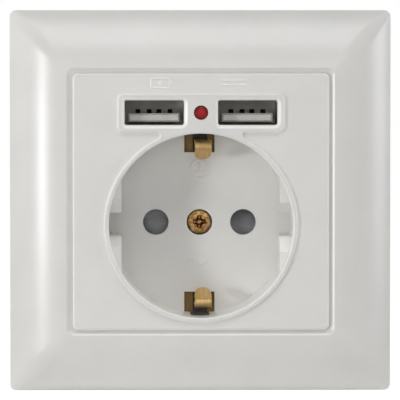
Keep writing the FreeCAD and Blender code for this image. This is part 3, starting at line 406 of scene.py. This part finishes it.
# %% [markdown]
# Inside the base sit the boards and parts of the charger. Laminate is green lacquer over a
# woven glass cloth, which shows as a faint grid. The transformer is a dark ferrite core with
# a band of yellow tape, and the capacitor wears a dark shrunk sleeve.

# %% Charger parts
laminate, tree, shader, where = new_finish("laminate", 0.35)
weave = tree.nodes.new("ShaderNodeTexWave")
weave.inputs["Scale"].default_value = 0.8
weave.inputs["Distortion"].default_value = 1.0
tree.links.new(where, weave.inputs["Vector"])
colour_between(tree, weave.outputs["Fac"], "1E5A34", "266B3F", shader)
lift(tree, weave.outputs["Fac"], 0.01, shader)

ferrite, tree, shader, where = new_finish("ferrite", 0.55)
colour_between(tree, noise(tree, where, 1.5, 5.0), "3A3A3D", "4A4A4E", shader)
lift(tree, noise(tree, where, 0.2, 4.0), 0.03, shader)

sleeve, tree, shader, where = new_finish("sleeve", 0.25)
colour_between(tree, noise(tree, where, 3.0), "232838", "2E3448", shader)
lift(tree, noise(tree, where, 1.0), 0.02, shader)

# %% [markdown]
# Each solid names the slot of its material, and a table says which finish the slot gets. The
# socket cover alone wears the white with the painted highlights on its bevels.

# %% Dress the solids
SLOT_FINISHES = {
    "cover_plastic": pearl_white, "base_plastic": base_grey_painted_shade, "dark_plastic": shutter_dark_painted_light,
    "grey_plastic": insulator_grey, "brass": brass, "zinc_steel": zinc, "shell_steel": nickel,
    "red_lens": red_clear_painted_shade, "board": laminate, "ferrite": ferrite, "sleeve": sleeve,
}
for name, node in sorted(nodes.items()):
    slot_name = node.data.materials[0].name.split(".")[0]
    finish = cover_white_painted_light if name == "socket_cover" else SLOT_FINISHES[slot_name]
    node.data.materials[0] = finish
    print(name, "wears", finish.name)

# %% [markdown]
# The cover frame is a hollow square ring with a convex face, like a thin pillow, and its
# four flanks meet in soft mitres. One section is carried round a square path. The path has
# rounded corners whose size grows towards the middle of the flank, so the mitres catch the
# light as narrow soft lines, as they do on the moulded piece. The hollow behind has corners
# of its own.

# %% Section and path helpers
def soft_corners(corners, radii, steps=5):
    """Profile with each corner replaced by an arc of its radius: the arc touches both sides
    and its points turn evenly about the arc's centre."""
    corners = np.asarray(corners, float)
    rounded = []
    befores, afters = np.roll(corners, 1, 0), np.roll(corners, -1, 0)
    for before, corner, after, radius in zip(befores, corners, afters, radii):
        if radius == 0:
            rounded.append(corner[None])
            continue
        back, ahead = before - corner, after - corner
        back, ahead = back / np.linalg.norm(back), ahead / np.linalg.norm(ahead)
        half_turn = np.arccos(np.clip(back @ ahead, -1, 1)) / 2
        bisector = (back + ahead) / np.linalg.norm(back + ahead)
        middle = corner + bisector * radius / np.sin(half_turn)
        start = corner + back * radius / np.tan(half_turn) - middle
        end = corner + ahead * radius / np.tan(half_turn) - middle
        share = np.linspace(0, 1, steps)[:, None]
        spread = np.pi - 2 * half_turn
        arc = np.sin((1 - share) * spread) * start + np.sin(share * spread) * end
        rounded.append(middle + arc / np.sin(spread))
    return np.concatenate(rounded)


def bowed(start, end, radius, steps):
    """Points of the arc from start to end that bulges to the right of the way: the chord's
    middle, moved back by the sagitta's rest, is the centre, and the turn runs evenly."""
    start, end = np.array(start, float), np.array(end, float)
    chord = end - start
    length = np.linalg.norm(chord)
    along = chord / length
    right = np.array([along[1], -along[0]])
    centre = (start + end) / 2 - right * np.sqrt(radius ** 2 - length ** 2 / 4)
    spread = np.arcsin(length / 2 / radius)
    turn = np.linspace(-spread, spread, steps + 2)[1:-1, None]
    return centre + radius * (np.cos(turn) * right + np.sin(turn) * along)


def round_square(half, corner, steps=12):
    """Rings of rounded squares: for each half width and corner radius, four arcs about the
    four corner centres, joined by straight runs."""
    quarter = np.linspace(0, np.pi / 2, steps)
    turn = np.concatenate([quarter + k * np.pi / 2 for k in range(4)])
    side_x = np.repeat([1, -1, -1, 1], steps)
    side_z = np.repeat([1, 1, -1, -1], steps)
    half, corner = half[:, None], corner[:, None]
    x = side_x * (half - corner) + corner * np.cos(turn)
    z = side_z * (half - corner) + corner * np.sin(turn)
    return x, z


# %% Cover frame
frame_foot = (41.0, 2.6)
frame_edge = (28.7, 9.0)
hollow_foot = (39.2, 1.7)
hollow_edge = (29.1, 7.2)
flank_radius = 20.6
hollow_radius = 18.8
lip = 27.53
ledge = 26.55
skirt = 27.7
flank = bowed(frame_foot, frame_edge, flank_radius, 26)
hollow = bowed(hollow_foot, hollow_edge, hollow_radius, 10)[::-1]
corners = np.concatenate([
    [(frame_foot[0], 0.0), frame_foot], flank,
    [frame_edge, (lip, 8.3), (lip, 4.5), (ledge, 4.5), (ledge, 3.1), (skirt, 3.1)],
    [(skirt, 1.0), (hollow_edge[0], 1.0), hollow_edge],
    hollow, [hollow_foot, (hollow_foot[0], 0.0)],
])
radii = np.zeros(len(corners))
radii[0] = 0.25
radii[len(flank) + 2:len(flank) + 5] = 0.25, 0.12, 0.1
section = soft_corners(corners, radii)
width, front = section[:, 0], section[:, 1]
up_flank = np.clip((front - frame_foot[1]) / (frame_edge[1] - frame_foot[1]), 0, 1)
middle_of_wall = np.interp(front, (0.0, 2.6, 7.2, 9.0), (40.0, 40.0, 30.0, 28.0))
flank_mitre = 1.4 + 1.6 * np.sin(np.pi * up_flank)
hollow_mitre = np.where(width < 30, 1.3, 0.6)
mitre = np.where(width > middle_of_wall, flank_mitre, hollow_mitre)
x, z = round_square(width, mitre)
rings = place(x, section[:, 1:2], z)
cover_frame = make_piece("cover_frame_moulding", [closed_piece(rings, join_ends=True)],
                         pearl_white, crease=30)
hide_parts("cover_frame")

# %% [markdown]
# The screw in the middle of the well has a domed head and a cross recess. The head is a disc
# of rings. Their front distance comes from a formula: a shallow dome, minus a cross whose
# arms narrow outwards and grow deeper towards a round pit in the middle.

# %% Turned pieces and a recess
def smooth_step(low, high, value):
    """0 below low, 1 above high, and an S-shaped rise between."""
    share = np.clip((value - low) / (high - low), 0, 1)
    return share * share * (3 - 2 * share)


def turned_rings(profile, columns, x=0.0, z=0.0):
    """Rings of a turned piece: each (radius, front) of the profile turned about its axis."""
    turn = np.arange(columns) * 2 * np.pi / columns
    radius, front = profile[:, 0:1], profile[:, 1:2]
    return place(x + radius * np.cos(turn), front + 0 * turn, z + radius * np.sin(turn))


def cross_recess(across, up, arm_half, arm_reach, depth):
    """Depth of a cross recess at a point of the head: full along the arms' middle lines,
    none beside them, and deeper towards the place where the arms meet."""
    beside = np.minimum(np.abs(across), np.abs(up))
    along = np.maximum(np.abs(across), np.abs(up))
    arm = 1 - smooth_step(arm_half * 0.5, arm_half * 1.3, beside + 0.2 * along)
    reach = 1 - smooth_step(arm_reach * 0.9, arm_reach, along)
    return depth * arm * reach * (1 - 0.4 * along / arm_reach)


# %% Cover screw
head_front = -7.9
head_seat = -9.9
screw_tip = -18.9
head_radius = 2.6
shank_radius = 1.5
face_rings = 64
face = np.linspace(0.02, head_radius - 0.12, face_rings)
dome = head_front - 0.05 - 0.22 * (face / head_radius) ** 2
edge = [(head_radius - 0.03, head_front - 0.32), (head_radius, head_front - 0.42),
        (head_radius, head_seat + 0.1), (head_radius - 0.1, head_seat)]
shank = [(shank_radius, head_seat), (shank_radius, screw_tip + 0.5), (1.1, screw_tip)]
profile = np.concatenate([np.stack([face, dome], axis=1), edge, shank])
rings = turned_rings(profile, 160, z=well_z)
across, up = rings[:face_rings, :, 0] / MM, rings[:face_rings, :, 2] / MM - well_z
pit = 0.3 * (1 - smooth_step(0.3, 1.0, np.hypot(across, up)))
recess = cross_recess(across, up, arm_half=0.62, arm_reach=1.42, depth=0.75)
rings[:face_rings, :, 1] += (recess + pit) * MM
cover_screw = make_piece("cover_screw_turned", [closed_piece(rings)], gold_zinc, crease=40)
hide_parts("cover_screw")

# %% [markdown]
# The earth strip is one bent piece of brass. A bridge lies under the screw, and at each end
# a tongue is lanced out of the strip, rises along the wall of the well, folds over at the
# front and slopes back inwards to a rounded free tip. A strip is a rounded rectangle carried
# along a line in the plane of front and z, and its width may change on the way: the tongues
# widen to the right as they rise, and their tips end in half an ellipse.

# %% Bent strips
def bent_line(corners, radii, step=0.12):
    """A line through the corners with rounded bends, cut into even steps, and how far each
    of its points has run."""
    corners = np.asarray(corners, float)
    inner = soft_corners(corners, (0, *radii, 0), 9)
    run = np.concatenate([[0], np.cumsum(np.linalg.norm(np.diff(inner, axis=0), axis=1))])
    count = max(int(run[-1] / step), 2)
    even = np.linspace(0, run[-1], count)
    return np.stack([np.interp(even, run, inner[:, k]) for k in range(2)], axis=1), even


def strip_rings(line, left, right, wall, edge=0.12):
    """Rings of a strip: at each point of the line a rounded rectangle from left to right
    across and half the wall to each side along the line's normal."""
    ahead = np.gradient(line, axis=0)
    ahead /= np.linalg.norm(ahead, axis=1)[:, None]
    normal = np.stack([-ahead[:, 1], ahead[:, 0]], axis=1)
    turn = np.concatenate([np.linspace(0, np.pi / 2, 4) + k * np.pi / 2 for k in range(4)])
    side_x = np.repeat([1, 0, 0, 1], 4)
    side_n = np.repeat([1, 1, -1, -1], 4)
    left, right = np.broadcast_arrays(left, right, line[:, 0])[:2]
    middle = np.where(side_x == 1, (right - edge)[:, None], (left + edge)[:, None])
    across = middle + edge * np.cos(turn)
    out = side_n * (wall / 2 - edge) + edge * np.sin(turn)
    front = line[:, 0:1] + normal[:, 0:1] * out
    up = line[:, 1:2] + normal[:, 1:2] * out
    return across, front, up


def strip(line, left, right, wall, side):
    """A closed strip along a line of (front, distance from the well's middle), on the upper
    side of the middle for 1 and on the lower side for -1."""
    across, front, up = strip_rings(line, left, right, wall)
    return closed_piece(place(across, front, well_z + side * up))


# %% Earth strip
strip_wall = 0.8
flange = -9.8
bridge = -16.4
strip_half = 3.8
fork = 14.6
ear_end = 20.0
lanced_left, lanced_right = -1.15, 1.55
lance_gap = 0.1
widening = 0.9
leg = [(bridge, 0.0), (bridge, 13.6), (flange, 13.6), (flange, fork)]
leg_line = bent_line(leg, (0.9, 0.9))[0]
ear_line = bent_line([(flange, fork), (flange, ear_end)], ())[0]
tongue = [(flange, fork), (flange, 17.6), (4.75, 17.6), (-1.55, 14.25)]
tongue_line, run = bent_line(tongue, (0.5, 0.62))
to_tip = np.clip((run[-1] - run) / 2.9, 0, 1)
tip = 0.3 + 0.7 * np.sqrt(1 - (1 - to_tip) ** 2)
right = lanced_right + widening * smooth_step(-8.0, 2.0, tongue_line[:, 0])
middle, half = (lanced_left + right) / 2, (right - lanced_left) / 2 * tip
parts = []
for side in (1, -1):
    parts.append(strip(leg_line, -strip_half, strip_half, strip_wall, side))
    parts.append(strip(ear_line, -strip_half, lanced_left - lance_gap, strip_wall, side))
    parts.append(strip(ear_line, lanced_right + lance_gap, strip_half, strip_wall, side))
    parts.append(strip(tongue_line, middle - half, middle + half, strip_wall, side))
earth_strip = make_piece("earth_strip", parts, brass, crease=40)
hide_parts("earth_strap")

# %% [markdown]
# The contacts in the ports are bowed springs, four to a port. Their solids are plain steps,
# so each is built again as a strip that rises from the back of the insulator's tongue to a
# crest near its nose, and dips again. The box of the solids says where the strips lie.

# %% Contact strips
contact_half = 0.5
contact_wall = 0.22
contact_offsets = (-3.45, -1.05, 1.05, 3.45)
crest = 0.62
for word in ("left", "right"):
    solid = np.array(nodes["usb_contacts_" + word].bound_box) / MM
    low, high = solid.min(axis=0), solid.max(axis=0)
    back, nose, foot = -high[1], -low[1], low[2] + contact_wall / 2
    bow = [(back, foot), (back + 2.5, foot), (nose - 2.4, foot + crest),
           (nose - 1.0, foot + crest), (nose, foot)]
    line = bent_line(bow, (1.5, 1.5, 0.8))[0]
    middle = (low[0] + high[0]) / 2
    springs = []
    for offset in contact_offsets:
        left, right = middle + offset - contact_half, middle + offset + contact_half
        rings = strip_rings(line, left, right, contact_wall, edge=0.05)
        springs.append(closed_piece(place(*rings)))
    contacts = make_piece("contact_springs_" + word, springs, contact_plate_painted_shade, crease=40)
    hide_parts("usb_contacts_" + word)

# %% [markdown]
# The cover carries a few plain raised signs: direct current and a battery above the ports,
# the earth sign and the wave of alternating current in the well. Each sign is a set of
# strokes, and a stroke is a low ridge carried along a line on the surface.

# %% Strokes
def stroke(line, surface, width=0.4, height=0.16, closed=False):
    """A ridge along a line of (x, z): across the line half an ellipse of the given width and
    height, with its foot sunk a little into the surface."""
    line = np.asarray(line, float)
    ahead = np.roll(line, -1, 0) - np.roll(line, 1, 0) if closed else np.gradient(line, axis=0)
    ahead /= np.linalg.norm(ahead, axis=1)[:, None]
    turn = np.linspace(0, np.pi, 7)
    across = np.concatenate([np.cos(turn), [-1, 1]]) * width / 2
    rise = np.concatenate([np.sin(turn) * height, [-0.05, -0.05]])
    x = line[:, 0:1] - ahead[:, 1:2] * across
    z = line[:, 1:2] + ahead[:, 0:1] * across
    return closed_piece(place(x, surface + rise, z), join_ends=closed)


def bar(x, z, half, surface, upright=False):
    """A straight stroke about its middle, level or upright."""
    along = np.array([(0, 1), (0, -1)] if upright else [(-1, 0), (1, 0)]) * half
    return stroke(along + (x, z), surface)


# %% Raised signs
plate_front = 9.6
well_floor = -7.1
earth_x, earth_z, earth_radius = 0.1, 6.4, 2.0
turn = np.linspace(0, 2 * np.pi, 48, endpoint=False)
ring = [earth_x + earth_radius * np.cos(turn), earth_z + earth_radius * np.sin(turn)]
signs = [stroke(np.stack(ring, axis=1), well_floor, closed=True)]
signs.append(bar(earth_x, earth_z + 0.45, 0.85, well_floor, upright=True))
for down, half in ((0.4, 1.15), (0.9, 0.75), (1.4, 0.35)):
    signs.append(bar(earth_x, earth_z - down, half, well_floor))
wave_start, wave_length, wave_z, wave_rise = -3.3, 5.0, -13.6, 0.75
along = np.linspace(0, wave_length, 33)
wave = wave_z + wave_rise * np.sin(along * 2 * np.pi / wave_length)
signs.append(stroke(np.stack([wave_start + along, wave], axis=1), well_floor))
direct_x, direct_z = 7.05, 25.0
signs.append(bar(direct_x, direct_z + 1.0, 2.6, plate_front))
signs += [bar(direct_x + 1.9 * k, direct_z, 0.7, plate_front) for k in (-1, 0, 1)]
battery_x, battery_z = -8.7, 25.4
across, up = round_square(np.array([2.0]), np.array([0.5]), 6)
battery = np.stack([battery_x + across[0], battery_z + 0.5 * up[0]], axis=1)
signs.append(stroke(battery, plate_front, closed=True))
signs.append(bar(battery_x + 2.4, battery_z, 0.4, plate_front, upright=True))
signs += [bar(battery_x, battery_z, 0.45, plate_front, upright=k) for k in (False, True)]
raised_signs = make_piece("raised_signs", signs, sign_white_painted_highlight)

# %% [markdown]
# The lamp is a rod of clear red plastic whose front end is turned to a low dome: half an
# ellipse, 1.5 mm out and 0.55 mm forward.

# %% Lamp
lamp_front = 10.5
lamp_back = -4.45
lamp_radius = 1.5
lamp_dome = 0.55
turn = np.linspace(0.03, np.pi / 2, 24)
dome = [lamp_radius * np.sin(turn), lamp_front - lamp_dome * (1 - np.cos(turn))]
profile = np.concatenate([np.stack(dome, axis=1), [(lamp_radius, lamp_back)]])
lamp = make_piece("lamp_rod", [closed_piece(turned_rings(profile, 72, z=usb_z))], red_clear_painted_shade)
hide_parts("indicator_lamp")

# %% [markdown]
# The stage is a plain pale floor, and everything else is white. White comes from the floor's
# and the world's own look to the camera, never from more light on the socket. The floor adds
# white of its own for the camera, so it stays pale and still shows the shadow.

# %% Floor
floor_white = 0.92
floor_glow = 0.72
floor_half = 0.7
floor_z = cad_box[0][2]
sides = ((-1, -1), (1, -1), (1, 1), (-1, 1))
mesh = bpy.data.meshes.new("floor")
mesh.from_pydata([(x * floor_half, y * floor_half, floor_z) for x, y in sides], [], [(0, 1, 2, 3)])
floor = bpy.data.objects.new("floor", mesh)
bpy.context.scene.collection.objects.link(floor)
print("floor at", round(floor_z / MM, 2), "mm")


# %% What the camera sees of the stage
def seen_directly(tree):
    """1 for rays of the camera, of gloss and of glass, and 0 for the light on the socket."""
    path = tree.nodes.new("ShaderNodeLightPath")
    first = tree.nodes.new("ShaderNodeMath")
    first.operation = "MAXIMUM"
    second = tree.nodes.new("ShaderNodeMath")
    second.operation = "MAXIMUM"
    tree.links.new(path.outputs["Is Camera Ray"], first.inputs[0])
    tree.links.new(path.outputs["Is Glossy Ray"], first.inputs[1])
    tree.links.new(first.outputs["Value"], second.inputs[0])
    tree.links.new(path.outputs["Is Transmission Ray"], second.inputs[1])
    return second.outputs["Value"]


pale = bpy.data.materials.new("pale_floor")
pale.use_nodes = True
tree = pale.node_tree
tree.nodes.remove(tree.nodes["Principled BSDF"])
matt = tree.nodes.new("ShaderNodeBsdfDiffuse")
matt.inputs["Color"].default_value = (floor_white, floor_white, floor_white, 1.0)
glow = tree.nodes.new("ShaderNodeEmission")
glow_strength = tree.nodes.new("ShaderNodeMath")
glow_strength.operation = "MULTIPLY"
glow_strength.inputs[1].default_value = floor_glow
tree.links.new(seen_directly(tree), glow_strength.inputs[0])
tree.links.new(glow_strength.outputs["Value"], glow.inputs["Strength"])
both = tree.nodes.new("ShaderNodeAddShader")
tree.links.new(matt.outputs["BSDF"], both.inputs[0])
tree.links.new(glow.outputs["Emission"], both.inputs[1])
tree.links.new(both.outputs["Shader"], tree.nodes["Material Output"].inputs["Surface"])
mesh.materials.append(pale)

# %% White room around the floor
world_light = 0.03
world = bpy.data.worlds.new("white_room")
world.use_nodes = True
bpy.context.scene.world = world
tree = world.node_tree
background = tree.nodes["Background"]
background.inputs["Color"].default_value = (1.0, 1.0, 1.0, 1.0)
level = tree.nodes.new("ShaderNodeMapRange")
level.inputs["To Min"].default_value = world_light
level.inputs["To Max"].default_value = 1.0
tree.links.new(seen_directly(tree), level.inputs["Value"])
tree.links.new(level.outputs["Result"], background.inputs["Strength"])
print("the room lights the socket with", world_light, "and looks white, 1.0")

# %% [markdown]
# The faces turned to the camera are darker than the edges and flanks, so most of the light
# comes from the sides: a large softbox above, a strip at grazing height on the right and a
# weaker one on the left. Two weak softboxes in front fill in, the smaller one where the inner
# part of the left flank mirrors it, and a small one low on the left reaches under the well's
# rim. Two more stand beyond the upper corners, where the mitres of the frame mirror them, and
# one behind the wall plane lights the back of the socket.

# %% Softboxes
def softbox(name, x, y, z, size, power):
    """A square area lamp, aimed at the middle of the socket: its place and the side of the
    square in metres, its power in watts."""
    light = bpy.data.lights.new(name, "AREA")
    light.shape = "SQUARE"
    light.size = size
    light.energy = power
    lamp_object = bpy.data.objects.new(name, light)
    lamp_object.location = (x, y, z)
    lamp_object.rotation_euler = Vector((-x, -y, -z)).to_track_quat("-Z", "Y").to_euler()
    bpy.context.scene.collection.objects.link(lamp_object)
    print(name, "stands", round(float(np.linalg.norm((x, y, z))), 2), "m away")


softbox("top_softbox", 0.0, -0.8, 1.2, 0.8, 6.5)
softbox("front_softbox", 0.15, -1.6, 0.35, 0.5, 1.7)
softbox("front_left", -0.3, -1.2, 0.1, 0.16, 0.3)
softbox("right_strip", 0.9, -0.2, 0.1, 0.3, 1.85)
softbox("left_strip", -0.9, -0.2, 0.15, 0.36, 0.76)
softbox("low_left", -0.38, -0.34, 0.0, 0.07, 0.6)
softbox("upper_left", -0.8, -0.55, 0.8, 0.09, 0.8)
softbox("upper_right", 0.8, -0.55, 0.8, 0.09, 0.4)
softbox("back_softbox", 0.2, 1.4, 0.12, 0.6, 5.0)

# %% [markdown]
# The camera stands almost straight in front, a little to the left and a little above. Its
# place was worked out from seventeen points of the photograph: the corners of the frame and
# plate, the rim, the ports, the screw and the pin holes.

# %% Camera
azimuth = np.radians(-1.198)
elevation = np.radians(2.451)
distance = 0.9003
aim = place(-0.118, 5.0, 0.216)
pixels_per_mm = 4.65
photo_width = 400
sensor = 36.0
level = np.cos(elevation)
back = np.array([np.sin(azimuth) * level, -np.cos(azimuth) * level, np.sin(elevation)])
camera_data = bpy.data.cameras.new("camera")
camera_data.sensor_width = sensor
camera_data.lens = pixels_per_mm / MM * distance * sensor / photo_width
camera = bpy.data.objects.new("camera", camera_data)
camera.location = aim + back * distance
camera.rotation_euler = Vector(-back).to_track_quat("-Z", "Y").to_euler()
bpy.context.scene.collection.objects.link(camera)
bpy.context.scene.camera = camera
print("lens", round(camera_data.lens, 1), "mm, seen from", np.round(camera.location, 3))

# %% [markdown]
# The colours are shown as they are, with the plain display transform.

# %% Finish
bpy.context.scene.view_settings.view_transform = "Standard"
